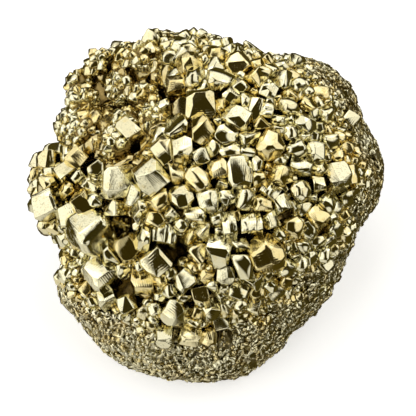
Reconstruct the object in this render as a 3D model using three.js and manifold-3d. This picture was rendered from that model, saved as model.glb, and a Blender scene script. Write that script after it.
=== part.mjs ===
// Pyrite specimen: a hand-sized cluster of intergrown pyrite crystals on massive, fine-grained pyrite.
// It lies on its flat broken base, at z = 0, with the crystal face turned up and towards -Y.
// Millimetres, +Z up. The origin is the middle of the base's outline box.
//
// The massive body is one closed lump, "matrix". Each large crystal that stands out of it is a convex
// solid of pyrite's own crystal forms, cut off where it meets the lump and where it meets an older crystal.

import * as THREE from 'three';
import { ConvexGeometry } from 'three/addons/geometries/ConvexGeometry.js';
import { mergeVertices } from 'three/addons/utils/BufferGeometryUtils.js';
import Module from 'manifold-3d';

const wasm = await Module();
wasm.setup();

// ---- Driving dimensions ----

const BODY_CENTRE = new THREE.Vector3(0.3, -0.9, 16);
const FACE_TILT = THREE.MathUtils.degToRad(25);   // how far the crystal face is turned from straight up
const BODY_DETAIL = 14;                           // subdivisions of the lump's surface
const LOBE_BLEND = 1.6;                           // width of the fillet where two lobes run together
const GRAIN_HEIGHT = 0.35;                        // relief of the fine-grained surface
const GRAIN_LENGTH = 4.2;
const CONTACT_GAP = 0.3;                          // clearance left where two solids meet
const CRYSTAL_RISE = 0.1;                         // centre of a crystal above the lump, of its size
const GROWTH_WOBBLE = 0.05;                       // uneven growth of a crystal's faces
const SEARCH_RADIUS = 60;                         // larger than anything in the body
const SEARCH_STEP = 0.5;
const NEARLY_PARALLEL = 1e-4;                     // three planes that meet in no clear point

// The face frame: u runs to the right, v up the crystal face and b out of it.
const FACE_RIGHT = new THREE.Vector3(1, 0, 0);
const FACE_UP = new THREE.Vector3(0, Math.cos(FACE_TILT), Math.sin(FACE_TILT));
const FACE_OUT = new THREE.Vector3(0, -Math.sin(FACE_TILT), Math.cos(FACE_TILT));

// Lobes of the massive body, in the face frame: centre and radii.
const LOBES = [
  { at: [0, 2, 0], radii: [30, 28, 21] },          // core
  { at: [-3, 13, -2], radii: [26, 18, 17] },       // broad top
  { at: [-10, 29, -4], radii: [5.6, 6.8, 7] },     // highest knob
  { at: [-1, 27.5, -3], radii: [6.5, 7, 7] },      // knob beside it
  { at: [-19, 24, -3], radii: [7.5, 7, 8] },       // top left, botryoidal
  { at: [-22, 19.5, -2], radii: [6, 7, 8] },
  { at: [-26.5, 5.5, -1], radii: [8.5, 8, 9] },    // left shoulder
  { at: [-26.8, 0, 0], radii: [7.5, 6, 9] },
  { at: [-24.5, -16, -2], radii: [6.8, 6.6, 8] },  // lower left knob
  { at: [16.5, 19.5, -3], radii: [13, 11, 13] },   // top right
  { at: [25, 7, -4], radii: [10, 11.5, 12] },      // right bulge
  { at: [13, -11, -5], radii: [12.5, 14, 14] },    // lower right
  { at: [-8, -19, -2], radii: [19, 15.5, 15] },    // bottom
  { at: [0, -23.5, -2], radii: [15, 12, 11] },
];

// Hollows between the crystals, in the face frame: place, reach and depth.
const HOLLOWS = [
  { at: [-21, 22], reach: 4.5, depth: 3.6 },
  { at: [-17, 19], reach: 4.5, depth: 4 },
  { at: [-12, 21], reach: 4.5, depth: 4 },
  { at: [-16.5, -3.5], reach: 3.2, depth: 4 },
  { at: [-6, -8], reach: 3, depth: 4 },
  { at: [-16, -16.5], reach: 2.6, depth: 3 },
  { at: [2, -23], reach: 2.6, depth: 3 },
];

// ---- Finishes ----

const MATRIX_FINISH = new THREE.MeshStandardMaterial({ color: 0x9c8a58, roughness: 0.4, metalness: 0.9 });
const CRYSTAL_FINISH = new THREE.MeshStandardMaterial({ color: 0xc8b877, roughness: 0.2, metalness: 0.9 });

// ---- Helpers ----

/** Point of the specimen from face-frame coordinates. */
function facePoint(u, v, b) {
  return BODY_CENTRE.clone()
    .addScaledVector(FACE_RIGHT, u)
    .addScaledVector(FACE_UP, v)
    .addScaledVector(FACE_OUT, b);
}

/** Repeatable number from 0 to 1 for a whole number. */
function scatter(index) {
  const wave = Math.sin(index * 12.9898 + 4.1) * 43758.5453;
  return wave - Math.floor(wave);
}

/** Solid for joining and cutting, from a closed three.js geometry. */
function toSolid(geometry) {
  const bare = geometry.clone();
  bare.deleteAttribute('normal');
  bare.deleteAttribute('uv');
  const merged = mergeVertices(bare, 1e-5);
  return new wasm.Manifold(new wasm.Mesh({
    numProp: 3,
    vertProperties: Float32Array.from(merged.attributes.position.array),
    triVerts: Uint32Array.from(merged.index.array),
  }));
}

/** Flat-shaded three.js geometry of a solid. */
function toGeometry(solid) {
  const { vertProperties, triVerts } = solid.getMesh();
  const indexed = new THREE.BufferGeometry();
  indexed.setAttribute('position', new THREE.BufferAttribute(Float32Array.from(vertProperties), 3));
  indexed.setIndex(new THREE.BufferAttribute(Uint32Array.from(triVerts), 1));
  const flat = indexed.toNonIndexed();
  flat.computeVertexNormals();
  return flat;
}

/** The largest of the bodies that a cut leaves. */
function largestBody(solid) {
  const bodies = solid.decompose();
  return bodies.reduce((best, body) => (body.volume() > best.volume() ? body : best));
}

// ---- The massive body ----

/** Distance, roughly, from a face-frame point to a lobe's surface: negative inside. */
function lobeDistance(lobe, point) {
  const [u, v, b] = point.map((value, axis) => (value - lobe.at[axis]) / lobe.radii[axis]);
  return (Math.hypot(u, v, b) - 1) * Math.min(...lobe.radii);
}

/** How far the hollows sink the surface at a place on the crystal face. */
function hollowDepth([u, v, b]) {
  if (b < 0) return 0;
  let depth = 0;
  for (const hollow of HOLLOWS) {
    const away = Math.hypot(u - hollow.at[0], v - hollow.at[1]) / hollow.reach;
    depth = Math.max(depth, hollow.depth * Math.exp(-away * away));
  }
  return depth;
}

/** Low relief of the fine-grained surface. */
function grain([u, v, b]) {
  const k = (2 * Math.PI) / GRAIN_LENGTH;
  return GRAIN_HEIGHT * Math.sin(k * u + b) * Math.sin(k * v + 0.7 * u) * Math.cos(k * b + v);
}

/** Distance, roughly, from a face-frame point to the body's surface: negative inside. */
function bodyDistance(point) {
  let sum = 0;
  for (const lobe of LOBES) sum += Math.exp(-lobeDistance(lobe, point) / LOBE_BLEND);
  return -LOBE_BLEND * Math.log(sum) + hollowDepth(point) + grain(point);
}

/** Distance along a line, coming in from outside, where it meets the body grown by a margin. */
function meetBody(start, direction, margin) {
  const along = (t) => start.map((value, axis) => value + direction[axis] * t);
  const outside = (t) => bodyDistance(along(t)) > margin;
  let far = SEARCH_RADIUS;
  while (far > -SEARCH_RADIUS && outside(far)) far -= SEARCH_STEP;
  let near = far + SEARCH_STEP;
  for (let i = 0; i < 20; i += 1) {
    const middle = (near + far) / 2;
    if (outside(middle)) near = middle;
    else far = middle;
  }
  return far;
}

/** The body, grown by a margin, cut flat at the base. */
function makeBody(margin) {
  const geometry = new THREE.IcosahedronGeometry(1, BODY_DETAIL);
  const position = geometry.attributes.position;
  for (let i = 0; i < position.count; i += 1) {
    const direction = [position.getX(i), position.getY(i), position.getZ(i)];
    const reach = meetBody([0, 0, 0], direction, margin);
    const point = facePoint(...direction.map((value) => value * reach));
    position.setXYZ(i, point.x, point.y, point.z);
  }
  const below = new THREE.BoxGeometry(2 * SEARCH_RADIUS, 2 * SEARCH_RADIUS, SEARCH_RADIUS);
  below.translate(0, 0, -SEARCH_RADIUS / 2);
  return toSolid(geometry).subtract(toSolid(below));
}

// ---- Crystals ----

/** Face directions of a crystal form: [1, 0, 0] gives the cube's six. Pyrite turns by thirds only. */
function formDirections([h, k, l]) {
  const directions = [];
  const signs = (value) => (value ? [1, -1] : [1]);
  for (const [x, y, z] of [[h, k, l], [l, h, k], [k, l, h]]) {
    for (const sx of signs(x)) {
      for (const sy of signs(y)) {
        for (const sz of signs(z)) {
          const direction = new THREE.Vector3(sx * x, sy * y, sz * z).normalize();
          if (directions.every((other) => other.distanceTo(direction) > 0.01)) directions.push(direction);
        }
      }
    }
  }
  return directions;
}

const CUBE = formDirections([1, 0, 0]);
const PYRITOHEDRON = formDirections([2, 1, 0]);
const OCTAHEDRON = formDirections([1, 1, 1]);

// Habits: how far each form's faces lie from the centre, for a crystal 2 across.
const HABITS = {
  cube: { cube: 1, pyritohedron: 1.27, octahedron: 1.6 },
  block: { cube: 1, octahedron: 1.62 },
  trimmed: { cube: 1, pyritohedron: 1.16, octahedron: 1.42 },
  pentagonal: { cube: 1.04, pyritohedron: 1, octahedron: 1.3 },
  rounded: { cube: 1, pyritohedron: 1.04, octahedron: 1.14 },
};

/** Planes that bound a crystal about its own centre, each a direction and a distance. */
function crystalPlanes(habit, size, seed) {
  const planes = [];
  const addForm = (directions, distance) => {
    if (!distance) return;
    for (const direction of directions) {
      // A long crystal's slanted faces lie as far out as an ellipsoid of its size reaches.
      const stretched = Math.hypot(...direction.toArray().map((value, axis) => value * size[axis])) / 2;
      const growth = 1 + GROWTH_WOBBLE * (2 * scatter(seed * 31 + planes.length) - 1);
      planes.push({ direction, distance: distance * stretched * growth });
    }
  };
  addForm(CUBE, habit.cube);
  addForm(PYRITOHEDRON, habit.pyritohedron);
  addForm(OCTAHEDRON, habit.octahedron);
  return planes;
}

/** Corners of the convex solid that lies behind every plane. */
function corners(planes) {
  const found = [];
  const matrix = new THREE.Matrix3();
  const isCorner = (point) => planes.every((plane) => plane.direction.dot(point) < plane.distance + 1e-6);
  for (let i = 0; i < planes.length; i += 1) {
    for (let j = i + 1; j < planes.length; j += 1) {
      for (let k = j + 1; k < planes.length; k += 1) {
        const [a, b, c] = [planes[i], planes[j], planes[k]];
        matrix.set(...a.direction, ...b.direction, ...c.direction);
        if (Math.abs(matrix.determinant()) < NEARLY_PARALLEL) continue;
        const point = new THREE.Vector3(a.distance, b.distance, c.distance).applyMatrix3(matrix.invert());
        const isNew = found.every((other) => other.distanceTo(point) > 1e-3);
        if (isNew && isCorner(point)) found.push(point);
      }
    }
  }
  return found;
}

/** Turn of a crystal: its own z axis leans right and up from straight out of the face, then it is spun. */
function crystalTurn(lean, spin) {
  const [right, up] = lean;
  const axis = FACE_OUT.clone().addScaledVector(FACE_RIGHT, right).addScaledVector(FACE_UP, up).normalize();
  const across = FACE_RIGHT.clone().addScaledVector(axis, -axis.dot(FACE_RIGHT)).normalize();
  const basis = new THREE.Matrix4().makeBasis(across, axis.clone().cross(across), axis);
  return basis.multiply(new THREE.Matrix4().makeRotationZ(THREE.MathUtils.degToRad(spin)));
}

/** Convex solid of a crystal, with every face moved out by a margin. */
function makeCrystal([, habit, [u, v], across, lean, spin], seed, margin) {
  const size = Array.isArray(across) ? across : [across, across, across];
  const planes = crystalPlanes(HABITS[habit], size, seed);
  for (const plane of planes) plane.distance += margin;
  const height = meetBody([u, v, 0], [0, 0, 1], 0) + CRYSTAL_RISE * Math.min(...size);
  const geometry = new ConvexGeometry(corners(planes));
  geometry.applyMatrix4(crystalTurn(lean, spin).setPosition(facePoint(u, v, height)));
  return toSolid(geometry);
}

// The large crystals, oldest first: an older crystal keeps its shape and a younger one is cut by it.
// Each row: name, habit, place [u, v] on the face, size across (or along its three axes), the slope of
// its axis to the right and up, and its spin about that axis in degrees.
const CRYSTALS = [
  // Left side
  ['rounded_left_largest', 'trimmed', [-23.6, -5], 8.2, [0.85, -0.75], 20],
  ['block_lower_left', 'trimmed', [-21.4, -13.2], 5.8, [-0.3, 0.5], 35],
  ['cube_left_edge', 'cube', [-32, 0.2], 5.2, [-0.5, 0.1], 24],
  ['cube_left_shoulder', 'cube', [-32.2, 9], 3.6, [-0.4, 0.1], 4],
  ['block_left_upper', 'block', [-28.8, 6.4], [4, 3.4, 3.4], [-0.2, 0.55], 40],
  ['cube_left_upper', 'cube', [-26.6, 9], 3.6, [0.25, 0.3], 52],
  ['cube_left_lower', 'cube', [-28, -2], 3.8, [-0.25, 0.2], 25],
  ['golden_left', 'cube', [-25.2, 1], 3.8, [0.1, -0.2], 32],
  ['pentagonal_left', 'pentagonal', [-18.8, 4.4], 6, [0.25, 0.5], 15],
  ['pentagonal_yellow', 'pentagonal', [-16.2, -8.2], 5.2, [0.3, 0.3], 40],
  ['block_corner_left', 'block', [-20.6, -18], [3.6, 3, 3.4], [-0.2, 0.6], 18],
  ['olive_lower_left', 'trimmed', [-16.8, -19], 3.6, [0.1, 0], 30],

  // Top
  ['dark_face_top', 'trimmed', [-2.4, 19.2], 5.8, [0, -0.04], 4],
  ['rounded_top', 'rounded', [-4.4, 27.6], 5, [0.15, -0.3], 30],
  ['yellow_top', 'cube', [-7, 23], 3.6, [-0.1, 0.6], 6],
  ['pentagonal_top', 'pentagonal', [-9.4, 19.2], 3, [-0.3, 0.5], 20],
  ['block_top_left', 'block', [-16, 14.4], [3.6, 4.6, 3.4], [-0.2, 0.6], 40],
  ['rounded_top_right', 'rounded', [4.8, 27.4], 5.4, [0.2, 0.5], 10],
  ['dark_ball_top_right', 'rounded', [5.4, 23], 3.4, [0, -0.1], 50],
  ['pentagonal_top_right', 'pentagonal', [3.4, 20.8], 3.4, [0.1, 0.55], 35],
  ['wedge_top_right', 'trimmed', [4.8, 16.4], 5, [-0.1, 0.65], -28],
  ['black_face_right', 'block', [8.2, 19.2], [2.4, 3.6, 2.8], [0.1, -0.1], -16],
  ['striated_right_upper', 'cube', [10.8, 22], 3.2, [0.1, 0.3], -24],
  ['striated_right_lower', 'cube', [10.4, 17.8], 2.8, [0, 0.55], -8],
  ['block_far_right', 'block', [27.2, 17], [3, 2.6, 2.6], [0.3, 0.2], -38],

  // Middle
  ['cube_middle_left', 'trimmed', [-11.6, 5.6], 5.8, [0.2, -0.3], 36],
  ['cube_middle', 'cube', [-5.8, 10.4], 4.4, [-0.05, 0.75], 2],
  ['ring_middle', 'rounded', [-5.8, 1.6], 4.6, [0, -0.1], 15],
  ['black_face_middle', 'trimmed', [-2, 9.4], 3.2, [0.1, -0.1], 30],
  ['bright_middle', 'cube', [1.2, 6.6], 3.4, [-0.35, 0.35], 12],
  ['tall_middle', 'trimmed', [5.2, 6], [4.6, 6, 4.6], [0.05, 0.35], 4],
  ['hexagonal_middle', 'pentagonal', [2.6, 1.6], 3.1, [0.2, 0.55], 28],
  ['dark_pyramid_right', 'rounded', [10.8, 11.4], 5.4, [0.2, -0.35], 45],
  ['striated_box_middle', 'block', [7.4, -3.4], [4.1, 4, 3.6], [0.03, 0.35], 1],
  ['striated_tall_middle', 'block', [3.3, -3.6], [2.7, 4.6, 3], [-0.12, 0.4], 7],
  ['cube_lower_middle', 'cube', [1.2, -8.6], 4.8, [0.05, 0.8], -14],
  ['hexagonal_lower', 'pentagonal', [5, -7.4], 3.2, [0.2, 0.5], 5],
  ['dark_ball_lower', 'rounded', [10.2, -9.2], 7, [0.1, -0.1], 20],

  // Right side
  ['wedge_right', 'trimmed', [24.2, 5.2], 5.2, [0.25, 0.7], 20],
  ['dark_ball_right', 'rounded', [16.6, 2.8], 4.4, [0.1, -0.15], 5],
  ['long_block_right', 'block', [16.8, 7.2], [4.2, 2.5, 2.6], [0, 0.6], -9],
  ['bright_right', 'cube', [20.2, 4], 2.8, [0.3, 0.5], 12],
  ['striated_right_middle', 'block', [10.6, 2.8], [3.2, 2.8, 2.8], [0.25, 0.5], -28],
  ['bright_right_middle', 'cube', [13, 0.2], 3.2, [0.35, 0.45], 30],
  ['corner_right', 'cube', [20, -2.4], 3.6, [0, 0.5], 45],

  // Bottom
  ['olive_cube_lower', 'cube', [-10.8, -10.4], 4.6, [0.12, -0.25], 40],
  ['striated_block_lower', 'block', [-9.2, -6.4], [4.8, 3.2, 3.4], [0, 0.3], -6],
  ['bright_block_lower', 'block', [-13.2, -14.8], [4.3, 4, 3.6], [-0.1, 0.6], -4],
  ['hexagonal_face_lower', 'trimmed', [-5.2, -14.4], 4, [0.05, 0.18], 40],
  ['olive_lower', 'pentagonal', [-7, -20.2], 5.2, [-0.45, -0.2], 60],
  ['light_lower', 'pentagonal', [-0.4, -20.2], 3.8, [0.1, 0.5], 12],
  ['dark_square_lower', 'cube', [-2.2, -16.8], 3.1, [0, -0.1], 14],
  ['bright_bottom', 'trimmed', [-4.6, -25.4], [4.2, 3.2, 3.4], [0.1, 0.7], 4],
  ['bright_bottom_left', 'cube', [-9, -25.4], 3.4, [-0.2, 0.7], -6],
  ['pentagonal_bottom', 'pentagonal', [-0.8, -25.4], 3.4, [0.2, 0.1], 18],
  ['black_face_lower', 'cube', [2.6, -13], 3.4, [0, -0.05], -4],
  ['bright_block_right', 'block', [7.8, -14], [3.8, 3, 3], [-0.2, 0.6], -38],
  ['tall_block_right', 'block', [8.4, -19], [2.3, 4.2, 2.5], [-0.2, 0.5], -15],
];

/** Every large crystal, cut where it meets the body and the older crystals. */
function makeCrystals() {
  const grownBody = makeBody(CONTACT_GAP);
  const older = [];
  return CRYSTALS.map((crystal, index) => {
    let solid = makeCrystal(crystal, index + 1, 0).subtract(grownBody);
    for (const neighbour of older) solid = solid.subtract(neighbour);
    older.push(makeCrystal(crystal, index + 1, CONTACT_GAP));
    const mesh = new THREE.Mesh(toGeometry(largestBody(solid)), CRYSTAL_FINISH.clone());
    mesh.name = crystal[0];
    return mesh;
  });
}

// ---- Assembly ----

const specimen = new THREE.Group();
const matrix = new THREE.Mesh(toGeometry(makeBody(0)), MATRIX_FINISH);
matrix.name = 'matrix';
specimen.add(matrix, ...makeCrystals());

export default specimen;
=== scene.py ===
"""Looks of the pyrite specimen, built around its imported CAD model.

Two pieces stand for the massive body: the clear small crystals, and the lump itself with its fine grain. Each
large crystal is replaced by a finer one on the same faces, with worn edges, odd facets or growth steps, and a
foot that goes down into the body.

Shapes are worked out in millimetres along the frame's own axes, and become metres as a mesh is made.
"""

import itertools
import math
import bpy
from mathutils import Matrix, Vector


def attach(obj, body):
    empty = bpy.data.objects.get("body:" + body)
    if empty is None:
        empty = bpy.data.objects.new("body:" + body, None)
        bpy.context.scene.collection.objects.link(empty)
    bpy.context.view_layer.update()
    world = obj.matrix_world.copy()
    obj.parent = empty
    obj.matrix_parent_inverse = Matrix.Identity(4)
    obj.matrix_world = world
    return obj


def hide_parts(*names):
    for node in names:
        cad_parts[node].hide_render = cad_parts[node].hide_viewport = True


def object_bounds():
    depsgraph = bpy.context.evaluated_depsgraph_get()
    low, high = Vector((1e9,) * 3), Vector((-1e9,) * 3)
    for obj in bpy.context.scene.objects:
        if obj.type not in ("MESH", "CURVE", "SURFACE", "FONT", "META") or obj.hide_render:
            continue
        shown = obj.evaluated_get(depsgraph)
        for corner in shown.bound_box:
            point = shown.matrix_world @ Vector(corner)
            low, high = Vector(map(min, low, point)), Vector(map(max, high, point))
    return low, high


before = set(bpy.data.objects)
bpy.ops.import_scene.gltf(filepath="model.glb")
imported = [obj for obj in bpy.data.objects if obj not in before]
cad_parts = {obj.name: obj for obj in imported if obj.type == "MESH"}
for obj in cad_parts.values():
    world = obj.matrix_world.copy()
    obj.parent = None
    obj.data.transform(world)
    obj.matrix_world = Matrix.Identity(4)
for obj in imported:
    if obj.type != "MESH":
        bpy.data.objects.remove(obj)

from types import SimpleNamespace

import bmesh
import bpy
import numpy as np
from mathutils import Vector
from mathutils.bvhtree import BVHTree
from mathutils.kdtree import KDTree

cad_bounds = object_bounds()
random = np.random.default_rng(20)

MM = 0.001
BODY = "matrix"
FACE_TILT = math.radians(25)                       # the crystal face is turned this far from straight up
HEART_SHARE = np.array([0.5051, 0.4863, 0.3678])   # the body's middle, as shares of the CAD box
ODD_WAY = (0.3, 0.5, 0.81)                         # any odd way, to make axes square to an outward one
SKY_RINGS = ((0.25, 8), (0.6, 6), (0.9, 3))        # looks outward from a place: their rise, and how many
SKY_REACH = 14                                     # how far each looks for something in its way

# Large crystals
SAME_WAY = 0.9995         # triangles of one flat face agree this closely in direction
FLATNESS = 0.03
LEAST_FACE = 0.1          # square millimetres
CONTACT_REACH = 0.5       # a CAD face with another solid this near is a contact, not a crystal's own face
CONTACT_OVERLAP = 0.45    # how far a crystal goes on into its neighbour
FOOT = 1.8                # and into the body
MEETING = -0.5            # and it is on the body if the two surfaces face each other more than this
OPPOSITE = 0.99           # two directions are opposite when they are this close to it
SQUARE = 0.03             # and square when they are
ALONG = 0.3               # faces less than this from square to the ridges' direction carry them
INWARD = -0.2             # a face that looks inward more than this ends in the body
WORN_EDGE = 0.1
BALL_EDGE = 0.16          # share of the crystal's width
EDGE_STEPS = 2            # in a rounded edge
BALL_EDGE_STEPS = 4
NICKS = 9                 # odd facets on a crystal's outer side
BALL_NICKS = 18
NICK_DEPTHS = (0.02, 0.12)     # shares of the crystal's width
NICK_OUTWARD = 0.8        # how much they keep to its outer side
RIDGE_PITCH = 1.2
RIDGE_SPREAD = 0.35       # share of the pitch
RIDGE_STEP = 0.13
RIDGE_OVERLAP = 0.05

# Small crystals. Sizes are from side to side.
COARSE = 4.3              # in the middle of the druse
MIDDLING = 3.7
SMALL = 2.6
FINE = 0.95               # at its rim and on the back
FINE_FROM = 1.35          # under this size a crystal is a plain chip
LEAST_SIZE = 0.6
LARGEST = 1.2 * COARSE
SIZE_ZONES = (0.4, 0.75, 0.95, 1.05)    # shares of the druse's reach where the four sizes above hold
DRUSE_MIDDLE = (-6, 6)    # on the face, right and up
DRUSE_REACH = (35, 30)
SIZE_WAVES = 0.07         # how unevenly the zones end
BACKWARD = 0.15           # a surface that faces the front less than this counts as further out
BACK_SHARE = 0.9
SIZE_PATCHES = 0.4        # how much the size differs from patch to patch
PATCH_SCALE = 0.37
SIZE_SPREAD = (0.85, 1.2)
SIZE_STEPS = (            # share of the size there, and tries
    (1.0, 14000),
    (0.8, 18000),
    (0.6, 20000),
    (0.42, 24000),
    (0.26, 24000),
)
SPACING = 0.72            # of the sum of two neighbours' half sizes
CHIP_SPACING = 0.88
GRID = 1.5                # cells of the search for near neighbours
CLEAR_OF_LARGE = 0.2      # of its size, how far a small crystal's middle keeps from a large crystal
BASE_HEIGHT = 0.1         # nothing grows on the broken base, which is all lower than this

# Clear crystals
HABIT_SHARES = {"cube": 0.32, "trimmed": 0.28, "pentagonal": 0.24, "rounded": 0.16}
ACROSS = (0.8, 1.3)       # how unequal the three widths are
FACE_SPREAD = 0.07
LEAN = 0.9                # how far crystals lean from straight out of the body
INSET = 0.3               # of its width, how far a crystal's middle stays inside the CAD box
SINKING, RISING = 0.12, 0.16   # of a crystal's width, how far its middle lies under or over the surface
LOWER = 0.3               # how much lower it lies for each millimetre that it is under the SMALL size
CREVICE_SHADE = 0.28             # how much more painted shade it gets for each millimetre of crevice
ROOT = 1.5                # how much longer a crystal is on its inner side, to end inside the core
ROOT_FACING = -0.35       # faces that look inward more than this are on that side
GAP = 0.06                # between neighbours
SEARCH = 0.7              # of the sum of two sizes, how far its neighbours are looked for
NEAR = 0.8                # and how near one has to be to cut it
FOOT_DEPTH = 0.25         # of its size, where a crystal's foot ends, besides the root
LEAST_LEFT = 0.1          # of its size: a crystal that is cut nearer its middle than this is left out
BEVEL = 0.03              # of its size

# Chips
CHIP_SHAPES = 40
CHIP_ACROSS = (0.7, 1.4)
CHIP_FACE_SPREAD = 0.2
CHIP_NICKS = 3
CHIP_LEAN = 0.3
CHIP_HEIGHT = 0.38        # of its width
CHIP_SINKING = 0.15       # of its width
CHIP_RIDGES = 0.2         # strength of its striations
CHIP_SHADE = 0.7          # how much more painted shade it gets between clear crystals
LOOK_OUT = 0.5            # of its size, how far over a small crystal its openness is taken

# Core
CORE_DEPTH = 0.45         # how far the massive core lies under the CAD surface
DRUSE_CORE_DEPTH = 1.2    # and where clear crystals cover it
CORE_SPREAD = (0.6, 1.3)
CORE_MAP = 0.2            # share of the texture map's height that is the core's own
CORE_FLOOR = 0.05         # its lowest, away from the base
CORE_CUT = 0.5            # how far its base goes on under the floor, where it is cut off
ON_BASE = 0.01            # its corners that are lower than this are the base's
CORE_LOOK_OUT = 0.6
BARE_SHADE, COVERED_SHADE = 0.7, 2.0      # how much painted shade it gets, under chips and under clear crystals
LUMPS = 0.35              # half the height of low lumps in the surface
RIM_DEPTH = 0.3           # how much deeper the crust lies where it faces sideways
RIM_FACING = (0.2, 0.6)
HOLLOW_DEPTH = 2.3        # how much deeper the deepest hollows go
HOLLOW_FROM, HOLLOW_SPAN = 0.4, 0.4     # how shut in they are

# Knobs: round lumps of small crystals
# Where on the face they are, right and up, how far they spread, and how deep the crevice round them is.
KNOB_REGIONS = ((-21, 22, 10.5, 3.3), (-26, -15.5, 3.5, 0.3))
KNOB_SPACING = 6.0
KNOB_RADII = (2.9, 3.6)
KNOB_FACING = -0.3        # none on a surface that faces the front less than this
KNOB_SUNK = 0.45          # of its radius
KNOB_BALL = 0.84          # of its radius, the ball that its crystals grow on
KNOB_POINTS = 60
KNOB_TRIES = 400
KNOB_SIZES = (1.3, 2.2)
KNOB_PACKING = 0.4        # of two sizes, how near two of its crystals may be
KNOB_BELOW = -0.2         # how far round under it they go
KNOB_LOOK_OUT = 1.5
KNOB_CLEAR = 0.75         # of its radius, where the scattered crystals leave room for it
KNOB_INSIDE = 0.7         # of its radius, where there is no crevice
CREVICE_RADII = (0.7, 0.95, 1.8, 2.8)   # where it begins, is deepest, is deepest still, and ends
CREVICE_FACING = (0.3, 0.7)             # its depth grows with how much the surface faces the front
CREVICE_LEAST = 0.35

# ---- Frame ----

box_low, box_high = (np.array(corner) / MM for corner in cad_bounds)
HEART = box_low + HEART_SHARE * (box_high - box_low)
FACE_RIGHT = np.array([1.0, 0.0, 0.0])
FACE_UP = np.array([0.0, math.cos(FACE_TILT), math.sin(FACE_TILT)])
FACE_OUT = np.array([0.0, -math.sin(FACE_TILT), math.cos(FACE_TILT)])
FACE_AXES = np.array([FACE_RIGHT, FACE_UP, FACE_OUT])


def unit(vectors):
    """Vectors at length 1."""
    return vectors / np.linalg.norm(vectors, axis=-1, keepdims=True)


def on_face(points):
    """Places in the face frame: right, up the face and out of it, from the body's middle."""
    return (points - HEART) @ FACE_AXES.T


def cad_triangles(name):
    """Corners of a CAD node's triangles."""
    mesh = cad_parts[name].data
    mesh.calc_loop_triangles()
    places = np.empty(len(mesh.vertices) * 3, np.float32)
    mesh.vertices.foreach_get("co", places)
    indices = np.empty(len(mesh.loop_triangles) * 3, np.int32)
    mesh.loop_triangles.foreach_get("vertices", indices)
    return (places.reshape(-1, 3)[indices] / MM).reshape(-1, 3, 3).astype(float)


def outward_axes(out):
    """Two ways square to an outward way."""
    side = unit(np.cross(out, ODD_WAY))
    return side, np.cross(out, side)


def tree_of(triangles):
    """Search tree over triangles."""
    corners = [Vector(corner) for corner in triangles.reshape(-1, 3)]
    return BVHTree.FromPolygons(corners, [(i, i + 1, i + 2) for i in range(0, len(corners), 3)])


def directions_and_areas(triangles):
    """Outward direction and area of each triangle."""
    crossed = np.cross(triangles[:, 1] - triangles[:, 0], triangles[:, 2] - triangles[:, 0])
    doubled = np.linalg.norm(crossed, axis=1)
    return crossed / np.maximum(doubled, 1e-12)[:, None], doubled / 2


CRYSTAL_NODES = sorted(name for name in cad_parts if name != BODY)
body_triangles = cad_triangles(BODY)
node_triangles = {name: cad_triangles(name) for name in CRYSTAL_NODES}
body_tree = tree_of(body_triangles)
whole_tree = tree_of(np.concatenate([body_triangles, *node_triangles.values()]))

# ---- Convex crystals ----


def form(h, k, l):
    """Face directions of a crystal form. Pyrite turns by thirds only."""
    found = set()
    for indices in ((h, k, l), (l, h, k), (k, l, h)):
        for signs in itertools.product((1, -1), repeat=3):
            found.add(tuple(sign * index for sign, index in zip(signs, indices)))
    return unit(np.array(sorted(found), float))


CUBE, PYRITOHEDRON, OCTAHEDRON = form(1, 0, 0), form(2, 1, 0), form(1, 1, 1)

# How far out the faces of each form lie, for a crystal 2 across.
HABITS = {
    "cube": ((CUBE, 1), (OCTAHEDRON, 1.5)),
    "trimmed": ((CUBE, 1), (PYRITOHEDRON, 1.13)),
    "pentagonal": ((CUBE, 1.07), (PYRITOHEDRON, 1)),
    "rounded": ((CUBE, 1), (PYRITOHEDRON, 1.05), (OCTAHEDRON, 1.12)),
    "chip": ((CUBE, 1),),
}


def meeting_points(normals, reaches):
    """Corners of the convex solid behind every plane, and which planes meet at each."""
    triples = np.array(list(itertools.combinations(range(len(normals)), 3)))
    triples = triples[np.abs(np.linalg.det(normals[triples])) > 1e-3]
    points = np.linalg.solve(normals[triples], reaches[triples][..., None])[..., 0]
    points = points[(points @ normals.T <= reaches + 1e-5).all(1)]
    points = points[np.unique(points.round(3), axis=0, return_index=True)[1]]
    return points, np.abs(points @ normals.T - reaches) < 2e-3


def rounded_points(normals, reaches, radius, steps):
    """Points whose hull is the solid behind every plane with its edges rounded, in this many steps."""
    points, meeting = meeting_points(normals, reaches - radius)
    found = []
    for point, planes in zip(points, meeting):
        sides = normals[planes]
        ways = list(sides)
        for a, b in itertools.combinations(sides, 2):
            ways += [a * (1 - part / steps) + b * part / steps for part in range(1, steps)]
        if steps > 1:
            ways.append(sides.sum(0))
        if steps > 2:
            ways += [a + b + c for a, b, c in itertools.combinations(sides, 3)]
        found.append(point + radius * unit(np.array(ways)))
    return np.concatenate(found)


def fitted_points(normals, reaches, radius):
    """Points of the solid behind every plane, all in front of its middle, with its edges bevelled."""
    # A plane of the hull of normals over reaches stands for a corner of the solid.
    solid = bmesh.new()
    for dual in normals / (reaches - radius)[:, None]:
        solid.verts.new(dual)
    solid.verts.index_update()
    bmesh.ops.convex_hull(solid, input=solid.verts)
    found = []
    for face in solid.faces:
        normal = np.array(face.normal)
        corner = normal / max(normal @ np.array(face.verts[0].co), 1e-6)
        if (normals @ corner <= reaches - radius + 1e-3).all():
            found += [corner + radius * normals[vertex.index] for vertex in face.verts]
    solid.free()
    return np.array(found)


def shape_of(solid):
    """A bmesh as a shape: its vertices, the corners of its faces and their directions."""
    solid.verts.index_update()
    return SimpleNamespace(
        vertices=np.array([v.co for v in solid.verts], float),
        corners=np.array([v.index for f in solid.faces for v in f.verts]),
        sizes=np.array([len(f.verts) for f in solid.faces]),
        directions=np.array([f.normal for f in solid.faces], float),
    )


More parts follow.
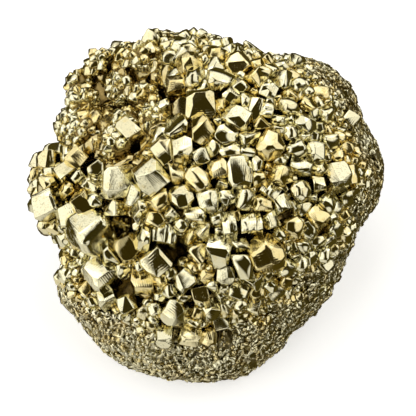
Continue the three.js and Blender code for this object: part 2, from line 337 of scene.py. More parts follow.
def hull(points):
    """Convex hull as a shape with flat faces."""
    solid = bmesh.new()
    for point in points:
        solid.verts.new(point)
    made = bmesh.ops.convex_hull(solid, input=solid.verts)
    inside = {v for v in made["geom_interior"] + made["geom_unused"] if isinstance(v, bmesh.types.BMVert)}
    bmesh.ops.delete(solid, geom=list(inside), context="VERTS")
    bmesh.ops.dissolve_limit(solid, angle_limit=math.radians(1), verts=solid.verts, edges=solid.edges)
    bmesh.ops.recalc_face_normals(solid, faces=solid.faces)
    shape = shape_of(solid)
    solid.free()
    return shape


def habit_planes(habit, across, unevenness):
    """Planes of a habit about the crystal's middle, each grown unevenly."""
    normals, reaches = [], []
    for directions, reach in HABITS[habit]:
        stretched = np.linalg.norm(directions * across, axis=1) / 2
        normals.append(directions)
        reaches.append(reach * stretched * random.uniform(1 - unevenness, 1 + unevenness, len(directions)))
    return np.concatenate(normals), np.concatenate(reaches)


def octahedral(points, middle, out):
    """Places of points on a square map of all directions, with the outward way at its centre."""
    axes = np.array([*outward_axes(out), out])
    low = middle - 0.4 * np.abs((points - middle) @ out).max() * out
    ways = (points - low) @ axes.T
    ways = ways / np.maximum(np.abs(ways).sum(1, keepdims=True), 1e-9)
    folded = (1 - np.abs(ways[:, 1::-1])) * np.where(ways[:, :2] < 0, -1, 1)
    return np.where(ways[:, 2:] < 0, folded, ways[:, :2]) / 2 + 0.5


def place(shape, turn, middle, out, tint, shade_and_hollow, ridges=0.5, axes=None):
    """A crystal: a shape turned and put in place, with what its faces carry for the finish."""
    placed = shape.vertices @ turn.T + middle
    directions = shape.directions if axes is None else shape.directions @ axes.T
    # Striations run one way on each pair of cube faces, and cross from pair to pair.
    across = np.eye(3)[(np.abs(directions).argmax(1) + 2) % 3]
    across = across @ (turn.T if axes is None else axes)
    faces = len(shape.sizes)
    return SimpleNamespace(
        vertices=placed,
        corners=shape.corners,
        sizes=shape.sizes,
        middle=placed.mean(0),
        radius=np.linalg.norm(placed - placed.mean(0), axis=1).max(),
        tint=np.full(faces, tint),
        shade_and_hollow=np.full(faces, shade_and_hollow),
        frost=random.uniform(0, 1, faces),
        ridges=np.full(faces, ridges),
        lines=across * random.uniform(0.7, 1.4),
        map=octahedral(placed, middle, out)[shape.corners],
        cell=0,
    )


# ---- Meshes ----


def mesh_object(name, crystals, side):
    """Mesh object of these crystals. The texture map has this many cells a side, and each crystal has one."""
    counts = [len(crystal.vertices) for crystal in crystals]
    firsts = np.concatenate([[0], np.cumsum(counts)[:-1]])
    corners = np.concatenate([crystal.corners + first for crystal, first in zip(crystals, firsts)])
    sizes = np.concatenate([crystal.sizes for crystal in crystals])
    maps = []
    for crystal in crystals:
        corner = np.array([crystal.cell % side, crystal.cell // side])
        maps.append((corner + 0.5 + 0.9 * (crystal.map - 0.5)) / side)
    mesh = bpy.data.meshes.new(name)
    mesh.vertices.add(sum(counts))
    mesh.vertices.foreach_set("co", np.concatenate([c.vertices for c in crystals]).ravel() * MM)
    mesh.loops.add(len(corners))
    mesh.loops.foreach_set("vertex_index", corners.astype(np.int32))
    mesh.polygons.add(len(sizes))
    mesh.polygons.foreach_set("loop_start", np.concatenate([[0], np.cumsum(sizes)[:-1]]).astype(np.int32))
    mesh.update(calc_edges=True)
    # Faces carry their tint, frost, painted shade and striation strength.
    for attribute in ("tint", "frost", "shade_and_hollow", "ridges"):
        values = np.concatenate([getattr(crystal, attribute) for crystal in crystals])
        mesh.attributes.new(attribute, "FLOAT", "FACE").data.foreach_set("value", values.astype(np.float32))
    lines = np.concatenate([crystal.lines for crystal in crystals])
    layer = mesh.attributes.new("lines", "FLOAT_VECTOR", "FACE")
    layer.data.foreach_set("vector", lines.astype(np.float32).ravel())
    layer = mesh.uv_layers.new(name="OFBake")
    layer.uv.foreach_set("vector", np.concatenate(maps).astype(np.float32).ravel())
    thing = bpy.data.objects.new(name, mesh)
    bpy.context.scene.collection.objects.link(thing)
    return thing


def sets_apart(crystals):
    """Crystals in sets whose members don't touch."""
    tree = KDTree(len(crystals))
    for i, crystal in enumerate(crystals):
        tree.insert(crystal.middle, i)
    tree.balance()
    widest = max(crystal.radius for crystal in crystals)
    set_of = {}
    for i, crystal in enumerate(crystals):
        near = tree.find_range(crystal.middle, crystal.radius + widest)
        taken = {
            set_of[j]
            for _, j, apart in near
            if j in set_of and apart < crystal.radius + crystals[j].radius
        }
        set_of[i] = next(n for n in itertools.count() if n not in taken)
    sets = [[] for _ in range(max(set_of.values()) + 1)]
    for i, n in set_of.items():
        sets[n].append(crystals[i])
    return sets


def floor_block():
    """A block whose top is the plane that the specimen rests on."""
    size = 400 * MM
    bpy.ops.mesh.primitive_cube_add(size=size, location=(0, 0, -size / 2))
    return bpy.context.object


def numbered(crystals, part=1.0):
    """Gives each crystal its own cell in this part of the texture map. Returns how many cells a side has."""
    for cell, crystal in enumerate(crystals):
        crystal.cell = cell
    return math.ceil(math.sqrt(len(crystals) / part))


def grown_together(name, crystals, core=None):
    """One closed object of overlapping crystals, and a core, cut off at the floor."""
    side = numbered(crystals, 1 if core is None else 1 - CORE_MAP)
    members = [mesh_object(f"{name}_set", group, side) for group in sets_apart(crystals)]
    if core is not None:
        members.insert(0, core)
    whole = members[0]
    for other in members[1:]:
        join = whole.modifiers.new("join", "BOOLEAN")
        join.operation, join.solver, join.object = "UNION", "MANIFOLD", other
    block = floor_block()
    cut = whole.modifiers.new("cut", "BOOLEAN")
    cut.operation, cut.solver, cut.object = "DIFFERENCE", "MANIFOLD", block
    depsgraph = bpy.context.evaluated_depsgraph_get()
    mesh = bpy.data.meshes.new_from_object(whole.evaluated_get(depsgraph))
    for thing in [*members, block]:
        bpy.data.objects.remove(thing)
    mesh.name = name
    grown = bpy.data.objects.new(name, mesh)
    bpy.context.scene.collection.objects.link(grown)
    return grown


# ---- Large crystals ----


def own_faces(triangles):
    """A CAD crystal's flat faces that have all of it behind them: direction, reach and middle of each."""
    directions, areas = directions_and_areas(triangles)
    reaches = (directions * triangles[:, 0]).sum(1)
    corners = triangles.reshape(-1, 3)
    left = np.ones(len(triangles), bool)
    found = []
    for i in np.argsort(-areas):
        if not left[i]:
            continue
        level = np.abs(reaches - reaches[i]) < FLATNESS
        same = left & (directions @ directions[i] > SAME_WAY) & level
        left &= ~same
        outside = (corners @ directions[i]).max() - reaches[i]
        if areas[same].sum() > LEAST_FACE and outside < FLATNESS:
            middle = (triangles[same].mean(1) * areas[same, None]).sum(0) / areas[same].sum()
            found.append((directions[i], reaches[i], middle, areas[same].sum()))
    return found


def how_far_on(direction, middle):
    """How far past a CAD face its crystal goes on, to close the CAD solids' gap to what they touch."""
    _, normal, _, apart = body_tree.find_nearest(Vector(middle))
    if apart < CONTACT_REACH and Vector(direction).dot(normal) < MEETING:
        return FOOT
    start = Vector(middle + 0.02 * direction)
    return CONTACT_OVERLAP if whole_tree.ray_cast(start, Vector(direction), CONTACT_REACH)[0] else 0.0


def large_planes(name):
    """Planes of a large crystal: its CAD faces, and facing each of them the parallel one that it lost."""
    triangles = node_triangles[name]
    corners = triangles.reshape(-1, 3)
    middle = (corners.min(0) + corners.max(0)) / 2
    out = unit(middle - HEART)
    faces = own_faces(triangles)
    normals = [direction for direction, _, _, _ in faces]
    reaches = [reach + how_far_on(direction, spot) for direction, reach, spot, _ in faces]
    for direction, _, _, _ in faces:
        if all(normal @ -direction < OPPOSITE for normal in normals):
            normals.append(-direction)
            inward = -direction @ out < INWARD
            reaches.append((corners @ -direction).max() + (FOOT if inward else CONTACT_OVERLAP))
    areas = [area for _, _, _, area in faces]
    first = faces[int(np.argmax(areas))][0]
    square = [(area, direction) for direction, _, _, area in faces if abs(direction @ first) < SQUARE]
    second = max(square, key=lambda pair: pair[0])[1] if square else np.cross(first, out)
    second = unit(second - (second @ first) * first)
    axes = np.array([first, second, np.cross(first, second)])
    return np.array(normals), np.array(reaches), middle, out, axes


def nicked(normals, reaches, out, count):
    """The planes with a few more that cut off corners and edges of the outer side."""
    points, _ = meeting_points(normals, reaches)
    width = np.ptp(points @ out)
    more = unit(unit(random.normal(size=(count, 3))) + NICK_OUTWARD * out)
    depths = random.uniform(*NICK_DEPTHS, count) * width
    return np.concatenate([normals, more]), np.concatenate([reaches, (points @ more.T).max(0) - depths])


def ridged(normals, reaches, along):
    """Convex slices of a solid across a direction, each a growth step higher or lower than the next."""
    points, _ = meeting_points(normals, reaches)
    low, high = (points @ along).min(), (points @ along).max()
    cuts = np.linspace(low, high, max(2, round((high - low) / RIDGE_PITCH)) + 1)
    cuts[1:-1] += RIDGE_PITCH * random.uniform(-RIDGE_SPREAD, RIDGE_SPREAD, len(cuts) - 2)
    sides = np.abs(normals @ along) < ALONG
    shapes = []
    for start, end in zip(cuts, cuts[1:]):
        limits = reaches - sides * RIDGE_STEP * random.uniform(0, 1, len(reaches))
        planes = np.array([*normals, along, -along])
        limits = np.array([*limits, end + RIDGE_OVERLAP, RIDGE_OVERLAP - start])
        slice_points = rounded_points(planes, limits, RIDGE_OVERLAP, 1)
        if len(slice_points) > 5:
            shapes.append(hull(slice_points))
    return shapes


def openness(point, out):
    """How shut in a place is: the share of looks outward that meet the specimen, 0 on a summit. It sets the
    painted shade, and how deep the crust's hollows lie.
    """
    side, other = outward_axes(out)
    blocked = 0
    for rise, count in SKY_RINGS:
        for turn in np.arange(count) * 2 * math.pi / count:
            level = math.cos(turn) * side + math.sin(turn) * other
            way = rise * out + math.sqrt(1 - rise * rise) * level
            blocked += whole_tree.ray_cast(Vector(point), Vector(way), SKY_REACH)[0] is not None
    return blocked / sum(count for _, count in SKY_RINGS)


# Planes, reaches, middle and radius of each large crystal, for the small ones to keep clear of
large_solids = []


def large_crystal(name):
    """The finer crystal that stands for a CAD node."""
    normals, reaches, middle, out, axes = large_planes(name)
    corners = node_triangles[name].reshape(-1, 3)
    tint = max(random.uniform(0, 1), float("golden" in name or "yellow" in name))
    top = ((corners - middle) @ out).max()
    # How shut in it is sets its painted shade.
    shade_and_hollow = openness(middle + out * (top + 0.3), out)
    ball = "ball" in name or "rounded" in name
    normals, reaches = nicked(normals, reaches, out, BALL_NICKS if ball else NICKS)
    radius = np.linalg.norm(corners - middle, axis=1).max()
    large_solids.append((normals, reaches, middle, radius))
    if "striated" in name:
        shapes = ridged(normals, reaches, axes[2])
    elif ball:
        edge = BALL_EDGE * np.ptp(corners, axis=0).min()
        shapes = [hull(rounded_points(normals, reaches, edge, BALL_EDGE_STEPS))]
    else:
        shapes = [hull(rounded_points(normals, reaches, WORN_EDGE, EDGE_STEPS))]
    parts = [place(shape, np.eye(3), np.zeros(3), out, tint, shade_and_hollow, 1.0, axes) for shape in shapes]
    for part in parts:
        part.map = octahedral(part.vertices, middle, out)[part.corners]
    if len(parts) == 1:
        return mesh_object(f"{name}_crystal", parts, 1)
    return grown_together(f"{name}_crystal", parts)


# ---- Small crystals ----


def size_there(spot, direction):
    """Usual size of the crystals at a place on the body: clear in the druse, fine at its rim and back."""
    right, up, _ = on_face(spot)
    reach = math.hypot((right - DRUSE_MIDDLE[0]) / DRUSE_REACH[0], (up - DRUSE_MIDDLE[1]) / DRUSE_REACH[1])
    reach += SIZE_WAVES * math.sin(0.35 * right + 1.3) * math.sin(0.41 * up + 0.4 * right)
    reach += max(0.0, BACKWARD - direction @ FACE_OUT) * BACK_SHARE
    usual = float(np.interp(reach, SIZE_ZONES, [COARSE, MIDDLING, SMALL, FINE]))
    return usual * (1 + SIZE_PATCHES * rolling(PATCH_SCALE * spot))


# Each knob's place on the body, outward way, radius, and the depth of the crevice round it
knobs = []


def crevice(point, out):
    """How deep the crevice round the knobs is at a place. It is deepest towards the druse."""
    facing = float(np.interp(out @ FACE_OUT, CREVICE_FACING, [CREVICE_LEAST, 1]))
    depths = []
    for middle, _, radius, depth in knobs:
        radii = np.linalg.norm(point - middle) / radius
        if radii < KNOB_INSIDE:
            return 0.0
        depths.append(depth * np.interp(radii, CREVICE_RADII, [0, 1, 1, 0]))
    return facing * float(max(depths, default=0))


def rolling(point):
    """Low lumps in the surface, from -1 to 1."""
    x, y, z = point
    return math.sin(0.9 * x + 0.5 * z + 1) * math.sin(1.1 * y - 0.4 * x) * math.sin(1.2 * z + 0.5 * y + 2)


def sinking(point, out, shade_and_hollow):
    """How far the crust lies under the CAD surface: in lumps, hollows and the crevice round the knobs."""
    hollow = float(np.clip((shade_and_hollow - HOLLOW_FROM) / HOLLOW_SPAN, 0, 1))
    sideways = float(np.interp(abs(out @ FACE_OUT), RIM_FACING, [1, 0]))
    low = LUMPS * (1 + rolling(point)) + RIM_DEPTH * sideways
    return low + HOLLOW_DEPTH * hollow + crevice(point, out)


def large_near(point, size):
    """Large crystals near a place: the face of each that the place is most in front of, and how far."""
    found = []
    middles = np.array([middle for _, _, middle, _ in large_solids])
    radii = np.array([radius for _, _, _, radius in large_solids])
    for i in np.flatnonzero(np.linalg.norm(middles - point, axis=1) < radii + size):
        normals, reaches, _, _ = large_solids[i]
        apart = normals @ point - reaches
        found.append((normals[apart.argmax()], apart.max()))
    return found


def scattered():
    """Places for the small crystals: large ones first, and smaller ones in what room is left."""
    directions, areas = directions_and_areas(body_triangles)
    base = (directions[:, 2] < -0.95) & (body_triangles[:, :, 2].max(1) < BASE_HEIGHT)
    areas = np.where(base, 0, areas)
    grid, spots = {}, []

    def cell_of(point):
        """The search cell that a place is in."""
        return tuple(np.floor(point / GRID).astype(int))

    for share, tries in SIZE_STEPS:
        chosen = random.choice(len(areas), tries, p=areas / areas.sum())
        weights = random.dirichlet((1, 1, 1), tries)
        for i, weight in zip(chosen, weights):
            point = weight @ body_triangles[i]
            size = size_there(point, directions[i]) * share * random.uniform(*SIZE_SPREAD)
            if size < LEAST_SIZE:
                continue
            spacing = SPACING if size > FINE_FROM else CHIP_SPACING
            reach = spacing * (size + LARGEST) / 2
            spans = [range(a, b + 1) for a, b in zip(cell_of(point - reach), cell_of(point + reach))]
            near = [other for cell in itertools.product(*spans) for other in grid.get(cell, ())]
            if near:
                places = np.array([other for other, _ in near])
                sizes = np.array([other for _, other in near])
                apart = np.linalg.norm(places - point, axis=1)
                if (apart < spacing * (size + sizes) / 2).any():
                    continue
            if all(apart > CLEAR_OF_LARGE * size for _, apart in large_near(point, size)):
                grid.setdefault(cell_of(point), []).append((point, size))
                spots.append((point, directions[i], size))
    return spots


def leaning_turn(out, lean):
    """A turn that points a crystal's own z axis roughly outward, with the rest left to chance."""
    axis = unit(out + lean * unit(random.normal(size=3)))
    side = unit(np.cross(axis, random.normal(size=3)))
    return np.array([side, np.cross(axis, side), axis]).T


def grain(middle, out, size, shade_and_hollow):
    """A clear crystal's habit in its place, before its neighbours cut it."""
    habit = random.choice(list(HABIT_SHARES), p=list(HABIT_SHARES.values()))
    across = random.uniform(*ACROSS, 3)
    normals, reaches = habit_planes(habit, size * across / across.mean(), FACE_SPREAD)
    turn = leaning_turn(out, LEAN)
    reaches += ROOT * (normals @ turn.T @ out < ROOT_FACING)
    return SimpleNamespace(
        middle=np.clip(middle, box_low + INSET * size, box_high - INSET * size),
        out=out,
        size=size,
        shade_and_hollow=shade_and_hollow,
        turn=turn,
        normals=normals @ turn.T,
        reaches=reaches,
    )


def cut_to_fit(grains):
    """The grains as crystals, each cut short of its neighbours where they meet."""
    tree = KDTree(len(grains))
    for i, one in enumerate(grains):
        tree.insert(one.middle, i)
    tree.balance()
    widest = max(one.size for one in grains)
    crystals = []
    for i, one in enumerate(grains):
        normals, reaches = [one.normals], [one.reaches]
        for _, j, apart in tree.find_range(one.middle, SEARCH * (one.size + widest)):
            other = grains[j]
            if j == i or apart > NEAR * (one.size + other.size):
                continue
            # The cut lies where two balls of these widths would cross.
            normals.append([(other.middle - one.middle) / apart])
            reaches.append([(apart + (one.size ** 2 - other.size ** 2) / 4 / apart - GAP) / 2])
        for normal, apart in large_near(one.middle, one.size):
            normals.append([-normal])
            reaches.append([apart - GAP])
        # Its foot ends inside the core.
        normals.append([-one.out])
        reaches.append([FOOT_DEPTH * one.size + ROOT])
        if one.middle[2] < one.size:
            normals.append([[0, 0, -1]])
            reaches.append([one.middle[2]])
        normals, reaches = np.concatenate(normals), np.concatenate(reaches)
        if reaches.min() < LEAST_LEFT * one.size:
            continue
        shape = hull(fitted_points(normals, reaches, BEVEL * one.size))
        tint, ridges = random.uniform(0, 1), random.uniform(0, 1) ** 2
        crystals.append(place(shape, np.eye(3), one.middle, one.out, tint, one.shade_and_hollow, ridges, one.turn.T))
    return crystals


def knob_places(spots):
    """Middles of the knobs, some way apart."""
    found = []
    for point, out, _ in spots:
        right, up, _ = on_face(point)
        depths = [depth for x, y, spread, depth in KNOB_REGIONS if math.hypot(right - x, up - y) < spread]
        clear = all(np.linalg.norm(point - other) > KNOB_SPACING for other, _, _, _ in found)
        if depths and clear and out @ FACE_OUT > KNOB_FACING:
            found.append((point, out, random.uniform(*KNOB_RADII), depths[0]))
    return found


def knob(point, out, radius):
    """A round lump of small crystals: a ball to grow on, and the grains on it."""
    middle = point - KNOB_SUNK * radius * out
    shape = hull(unit(random.normal(size=(KNOB_POINTS, 3))) * radius * KNOB_BALL)
    # The ball shows only between its grains, and gets dark painted shade.
    ball = place(shape, np.eye(3), middle, out, 0.5, COVERED_SHADE)
    grains = []
    for way in unit(random.normal(size=(KNOB_TRIES, 3))):
        size = random.uniform(*KNOB_SIZES)
        spot = middle + way * (radius - KNOB_PACKING * size)
        apart = [
            np.linalg.norm(spot - other.middle) - KNOB_PACKING * (size + other.size) for other in grains
        ]
        if way @ out > KNOB_BELOW and min(apart, default=1) > 0:
            grains.append(grain(spot, way, size, openness(spot + KNOB_LOOK_OUT * way, way)))
    return ball, grains


def chip_shapes():
    """Plain chips, 1 across, that the fine grain is made of."""
    found = []
    for _ in range(CHIP_SHAPES):
        across = random.uniform(*CHIP_ACROSS, 3)
        normals, reaches = habit_planes("chip", across / across.mean(), CHIP_FACE_SPREAD)
        normals, reaches = nicked(normals, reaches, np.array([0, 0, 1]), CHIP_NICKS)
        found.append(hull(meeting_points(normals, reaches)[0]))
    return found


def small_crystals():
    """Every small crystal: the clear ones, and the fine grain of the rim and the back."""
    chips = chip_shapes()
    spots = scattered()
    knobs.extend(knob_places(spots))
    balls, lumps, clear, fine = [], [], [], []
    for point, out, radius, _ in knobs:
        ball, grains = knob(point, out, radius)
        balls.append(ball)
        lumps += grains
    for point, out, size in spots:
        if any(np.linalg.norm(point - spot) < KNOB_CLEAR * radius for spot, _, radius, _ in knobs):
            continue
        shade_and_hollow = openness(point + out * LOOK_OUT * size, out)
        if size < FINE_FROM:
            turn = leaning_turn(out, CHIP_LEAN) * size * np.array([1, 1, CHIP_HEIGHT])
            shape = chips[random.integers(len(chips))]
            middle = point + (random.uniform(-CHIP_SINKING, 0) * size - sinking(point, out, shade_and_hollow)) * out
            # Between clear crystals they get painted shade.
            shade_and_hollow += float(np.interp(size_there(point, out), [1.5 * FINE, SMALL], [0, CHIP_SHADE]))
            fine.append(place(shape, turn, middle, out, random.uniform(0, 1), shade_and_hollow, CHIP_RIDGES))
        else:
            low = sinking(point, out, shade_and_hollow) + LOWER * max(0.0, SMALL - size)
            middle = point + (random.uniform(-SINKING, RISING) * size - low) * out
            # Crystals in the crevice round the knobs get more painted shade.
            clear.append(grain(middle, out, size, shade_and_hollow + CREVICE_SHADE * crevice(point, out)))
    return cut_to_fit(lumps + clear), fine + balls


def massive_core():
    """The body under its crystals: the CAD lump drawn in a little, with a broken, granular surface."""
    solid = bmesh.new()
    for triangle in body_triangles:
        solid.faces.new([solid.verts.new(corner) for corner in triangle])
    bmesh.ops.remove_doubles(solid, verts=solid.verts, dist=1e-3)
    solid.normal_update()
    for vertex in solid.verts:
        spot, out = np.array(vertex.co), np.array(vertex.normal)
        on_base = spot[2] < ON_BASE
        depth = np.interp(size_there(spot, out), [FINE, SMALL], [CORE_DEPTH, DRUSE_CORE_DEPTH])
        shut = openness(spot + CORE_LOOK_OUT * out, out)
        depth = depth * random.uniform(*CORE_SPREAD) + sinking(spot, out, shut)
        vertex.co -= Vector((out[0], out[1], 0 if on_base else out[2])) * depth
        vertex.co.z = -CORE_CUT if on_base else max(vertex.co.z, CORE_FLOOR)
    bmesh.ops.triangulate(solid, faces=solid.faces)
    solid.normal_update()
    shape = shape_of(solid)
    solid.free()
    core = place(shape, np.eye(3), np.zeros(3), FACE_OUT, 0.5, COVERED_SHADE, 0.0)
    spots = shape.vertices[shape.corners[np.cumsum(shape.sizes) - 1]]
    usual = [size_there(spot, out) for spot, out in zip(spots, shape.directions)]
    # The core shows only in gaps: painted shade, darker under clear crystals.
    core.shade_and_hollow = np.interp(usual, [FINE, SMALL], [BARE_SHADE, COVERED_SHADE])
    core.map = octahedral(shape.vertices, HEART, FACE_OUT)[shape.corners] * CORE_MAP + [0, 1 - CORE_MAP]
    return mesh_object("core", [core], 1)


# ---- Materials ----


def wire(tree, kind, inputs=(), **settings):
    """A shader node with its settings, and its inputs as plain values or other nodes' outputs."""
    node = tree.nodes.new(kind)
    for key, value in settings.items():
        setattr(node, key, value)
    for key, value in dict(inputs).items():
        if isinstance(value, bpy.types.NodeSocket):
            tree.links.new(value, node.inputs[key])
        else:
            node.inputs[key].default_value = value
    return node


def maths(tree, operation, *values, clamp=False):
    """Output of a Math node."""
    return wire(tree, "ShaderNodeMath", enumerate(values), operation=operation, use_clamp=clamp).outputs[0]


def noise(tree, position, size, detail=3.0, rough=0.55):
    """Noise whose features are about this many millimetres."""
    settings = {"Vector": position, "Scale": 1 / (size * MM), "Detail": detail, "Roughness": rough}
    return wire(tree, "ShaderNodeTexNoise", settings).outputs["Fac"]


def ramp(tree, value, low, high, smallest=0.0, largest=1.0):
    """A value eased from one range to another."""
    settings = {"Value": value, "From Min": low, "From Max": high, "To Min": smallest, "To Max": largest}
    return wire(tree, "ShaderNodeMapRange", settings, interpolation_type="SMOOTHSTEP").outputs["Result"]


def mixed(tree, share, one, other):
    """Colour between two."""
    return wire(tree, "ShaderNodeMix", {0: share, 6: one, 7: other}, data_type="RGBA").outputs[2]


def dotted(tree, one, other):
    """Dot product of two vectors."""
    inputs = {0: one, 1: other}
    return wire(tree, "ShaderNodeVectorMath", inputs, operation="DOT_PRODUCT").outputs["Value"]


def carried(tree, name, output="Fac"):
    """What the mesh's faces carry under this name."""
    return wire(tree, "ShaderNodeAttribute", attribute_name=name).outputs[output]


def bumped(tree, height, depth, strength, normal=None):
    """Normal of a surface with this relief, as deep as this many millimetres."""
    inputs = {"Height": height, "Distance": depth * MM, "Strength": strength}
    if normal is not None:
        inputs["Normal"] = normal
    return wire(tree, "ShaderNodeBump", inputs).outputs["Normal"]


PALE_BRASS = (0.80, 0.76, 0.525, 1)
GOLDEN = (0.80, 0.65, 0.28, 1)
# Bronze: the stains' colour, and the first step of the painted shade in shut-in places.
BRONZE_STAIN_AND_SHADE = (0.46, 0.345, 0.12, 1)
SOOT = (0.20, 0.16, 0.075, 1)
# The painted shade's darkest colour, in the most shut-in places.
SHADE_DARK = (0.19, 0.13, 0.04, 1)

# Millimetres across the features of each noise
STAIN_SIZE = 8
CLOUD_SIZE = 2.4
WOBBLE_SIZE = 1.6
PATCH_SIZE = 1.3
WAVE_SIZE = 1.1
MOTTLE_SIZE = 0.42
SPECK_SIZE = 0.16
STRIATION_PITCH = 0.38

# Depths of the relief, in millimetres
STRIATION_DEPTH = 0.008
MOTTLE_DEPTH = 0.01
WAVE_DEPTH = 0.006
SPECK_DEPTH = 0.005


def pyrite(name, smoothest, roughest, relief, stained):
    """Brassy metal: pale on clean faces, golden on some crystals, with painted shade from bronze to dark
    where shut in.

    Roughness goes from smoothest to roughest with each face's frost. Relief is how much deeper the waves and
    specks are than on a clear crystal, and stained is how strong the stains are.
    """
    material = bpy.data.materials.new(name)
    material.use_nodes = True
    tree = material.node_tree
    tree.nodes.clear()
    position = wire(tree, "ShaderNodeTexCoord").outputs["Object"]
    tint, frost, shade_and_hollow = carried(tree, "tint"), carried(tree, "frost"), carried(tree, "shade_and_hollow")
    clouds = noise(tree, position, CLOUD_SIZE)
    specks = noise(tree, position, SPECK_SIZE, detail=2.0)
    mottling = noise(tree, position, MOTTLE_SIZE, rough=0.65)
    stains = noise(tree, position, STAIN_SIZE, detail=4.0)

    # Colour: some crystals are golden, some spots stained and dull patches sooty; shut-in places get painted
    # shade, bronze to dark.
    golden = ramp(tree, tint, 0.5, 1.0, 0, 0.75)
    golden = maths(tree, "ADD", golden, ramp(tree, clouds, 0.5, 0.75, 0, 0.5))
    colour = mixed(tree, golden, PALE_BRASS, GOLDEN)
    # Painted shade: how shut in a face is, with a little noise, takes its colour to bronze and then to dark.
    shut = maths(tree, "MULTIPLY_ADD", clouds, 0.5, shade_and_hollow)
    colour = mixed(tree, ramp(tree, stains, 0.52, 0.68, 0, stained), colour, BRONZE_STAIN_AND_SHADE)
    colour = mixed(tree, ramp(tree, shut, 0.75, 1.25, 0, 0.75), colour, BRONZE_STAIN_AND_SHADE)
    colour = mixed(tree, ramp(tree, shut, 1.15, 1.8, 0, 0.9), colour, SHADE_DARK)
    colour = mixed(tree, ramp(tree, specks, 0.6, 0.8, 0, 0.5), colour, SOOT)
    dull = maths(tree, "MULTIPLY", ramp(tree, mottling, 0.5, 0.7), ramp(tree, frost, 0.3, 1.0, 0.1, 0.55))
    colour = mixed(tree, dull, colour, SOOT)

    # Striations: parallel growth steps, in patches.
    along = dotted(tree, position, carried(tree, "lines", "Vector"))
    wobble = maths(tree, "MULTIPLY", noise(tree, position, WOBBLE_SIZE, detail=1.0), 2.0)
    phase = maths(tree, "MULTIPLY_ADD", along, 2 * math.pi / (STRIATION_PITCH * MM), wobble)
    patches = ramp(tree, noise(tree, position, PATCH_SIZE), 0.42, 0.62)
    striations = maths(tree, "MULTIPLY", maths(tree, "SINE", phase), patches)
    normal = bumped(tree, striations, STRIATION_DEPTH, carried(tree, "ridges"))

    # Etched, wavy and speckled faces, more so where they are frosted.
    normal = bumped(tree, mottling, MOTTLE_DEPTH, maths(tree, "MULTIPLY", frost, frost), normal)
    waves = noise(tree, position, WAVE_SIZE, detail=1.5)
    normal = bumped(tree, waves, WAVE_DEPTH * relief, 1.0, normal)
    speckled = maths(tree, "MULTIPLY_ADD", frost, 0.7, 0.15)
    normal = bumped(tree, specks, SPECK_DEPTH * relief, speckled, normal)

    rough = maths(tree, "MULTIPLY_ADD", maths(tree, "POWER", frost, 2.5), roughest - smoothest, smoothest)
    rough = maths(tree, "ADD", rough, ramp(tree, clouds, 0.4, 0.7, 0, 0.05), clamp=True)
    shader = wire(tree, "ShaderNodeBsdfPrincipled", {
        "Base Color": colour, "Metallic": 1.0, "Roughness": rough, "Normal": normal,
    })
    wire(tree, "ShaderNodeOutputMaterial", {"Surface": shader.outputs[0]})
    return material


# ---- Pieces ----


def finish(piece, material, slot, *nodes):
    """A piece with its finish, riding on the specimen's one body in place of these CAD nodes."""
    piece.data.materials.clear()
    piece.data.materials.append(material)
    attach(piece, "root")
    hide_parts(*nodes)


def specimen():
    """Every piece of the specimen."""
    crystal = pyrite("crystal_pyrite", smoothest=0.04, roughest=0.2, relief=1.0, stained=0.15)
    massive = pyrite("massive_pyrite", smoothest=0.16, roughest=0.36, relief=4.0, stained=0.5)
    for name in CRYSTAL_NODES:
        finish(large_crystal(name), crystal, "crystal_pyrite", name)
    clear, fine = small_crystals()
    finish(mesh_object("small_crystals", clear, numbered(clear)), crystal, "crystal_pyrite", BODY)
    finish(grown_together("massive_body", fine, massive_core()), massive, "massive_pyrite", BODY)


# ---- Studio ----

# Round soft lights: azimuth from the front towards +X, elevation and half width, in degrees, and strength.
LIGHTS = [
    (-82, 34, 35, 1.35),
    (-150, 42, 29, 1.14),
    (150, 38, 29, 1.3),
    (88, 34, 30, 1.14),
    (15, 5, 17, 0.94),
    (-48, 2, 14, 0.83),
    (-40, -32, 42, 0.78),
]
SOFT_EDGE = 5             # degrees
SKY = 0.04                # strength of the room's own light from above
BELOW = 0.07              # and from below
HORIZON = (-0.15, 0.1)    # where the two meet
LAMP_WHITE = (1, 0.99, 0.97, 1)
WARM = (1.0, 0.78, 0.16, 1)
WHITE = (1, 1, 1, 1)
BACKDROP = 1.0
FLOOR_SIZE = 6000
FLOOR_GREY = (0.9, 0.9, 0.9, 1)
FLOOR_GLOW = 0.55


def towards(azimuth, elevation):
    """Direction at an azimuth from the front towards +X, and an elevation."""
    a, e = math.radians(azimuth), math.radians(elevation)
    return (math.sin(a) * math.cos(e), -math.cos(a) * math.cos(e), math.sin(e))


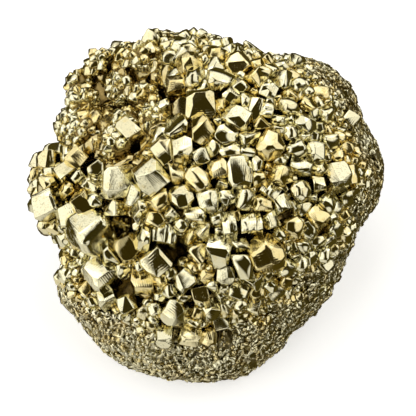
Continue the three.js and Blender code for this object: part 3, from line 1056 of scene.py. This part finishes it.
def studio_light():
    """A dim studio with round soft lights, and a pale backdrop behind the specimen."""
    world = bpy.data.worlds.new("studio")
    bpy.context.scene.world = world
    world.use_nodes = True
    tree = world.node_tree
    tree.nodes.clear()
    way = wire(tree, "ShaderNodeTexCoord").outputs["Generated"]
    height = wire(tree, "ShaderNodeSeparateXYZ", {0: way}).outputs["Z"]
    dim = ramp(tree, height, *HORIZON, BELOW, SKY)
    glow = 0.0
    for azimuth, elevation, half, strength in LIGHTS:
        facing = dotted(tree, way, towards(azimuth, elevation))
        outer = math.cos(math.radians(half + SOFT_EDGE))
        inner = math.cos(math.radians(half - SOFT_EDGE))
        glow = maths(tree, "ADD", glow, ramp(tree, facing, outer, inner, 0, strength))
    seen = wire(tree, "ShaderNodeLightPath").outputs["Is Camera Ray"]
    lamps = wire(tree, "ShaderNodeBackground", {"Color": LAMP_WHITE, "Strength": glow})
    room = wire(tree, "ShaderNodeBackground", {"Color": WARM, "Strength": dim})
    lit = wire(tree, "ShaderNodeAddShader", {0: lamps.outputs[0], 1: room.outputs[0]})
    backdrop = wire(tree, "ShaderNodeBackground", {"Color": WHITE, "Strength": BACKDROP})
    both = wire(tree, "ShaderNodeMixShader", {0: seen, 1: lit.outputs[0], 2: backdrop.outputs[0]})
    wire(tree, "ShaderNodeOutputWorld", {"Surface": both.outputs[0]})


def pale_floor():
    """A plain pale floor, which the metal doesn't mirror."""
    bpy.ops.mesh.primitive_plane_add(size=FLOOR_SIZE * MM, location=(0, 0, -0.1 * MM))
    floor = bpy.context.object
    floor.name = "floor"
    material = bpy.data.materials.new("floor")
    material.use_nodes = True
    shader = material.node_tree.nodes["Principled BSDF"]
    shader.inputs["Base Color"].default_value = FLOOR_GREY
    shader.inputs["Roughness"].default_value = 0.9
    shader.inputs["Specular IOR Level"].default_value = 0.0
    shader.inputs["Emission Color"].default_value = WHITE
    shader.inputs["Emission Strength"].default_value = FLOOR_GLOW
    floor.data.materials.append(material)
    floor.visible_glossy = False


VIEW_WIDTH = 83.2         # millimetres across the picture at the body's middle
VIEW_SHIFT = (-0.8, -0.4) # right and up on the face, from the body's middle
LENS = 150
SENSOR = 36


def camera():
    """The camera, looking straight at the crystal face."""
    settings = bpy.data.cameras.new("camera")
    settings.lens, settings.sensor_width = LENS, SENSOR
    settings.clip_start, settings.clip_end = 0.01, 10
    thing = bpy.data.objects.new("camera", settings)
    bpy.context.scene.collection.objects.link(thing)
    target = HEART + VIEW_SHIFT[0] * FACE_RIGHT + VIEW_SHIFT[1] * FACE_UP
    thing.location = Vector((target + FACE_OUT * VIEW_WIDTH * LENS / SENSOR) * MM)
    thing.rotation_mode = "QUATERNION"
    thing.rotation_quaternion = Vector(FACE_OUT).to_track_quat("Z", "Y")
    bpy.context.scene.camera = thing


specimen()
studio_light()
pale_floor()
camera()
bpy.context.scene.view_settings.view_transform = "Standard"
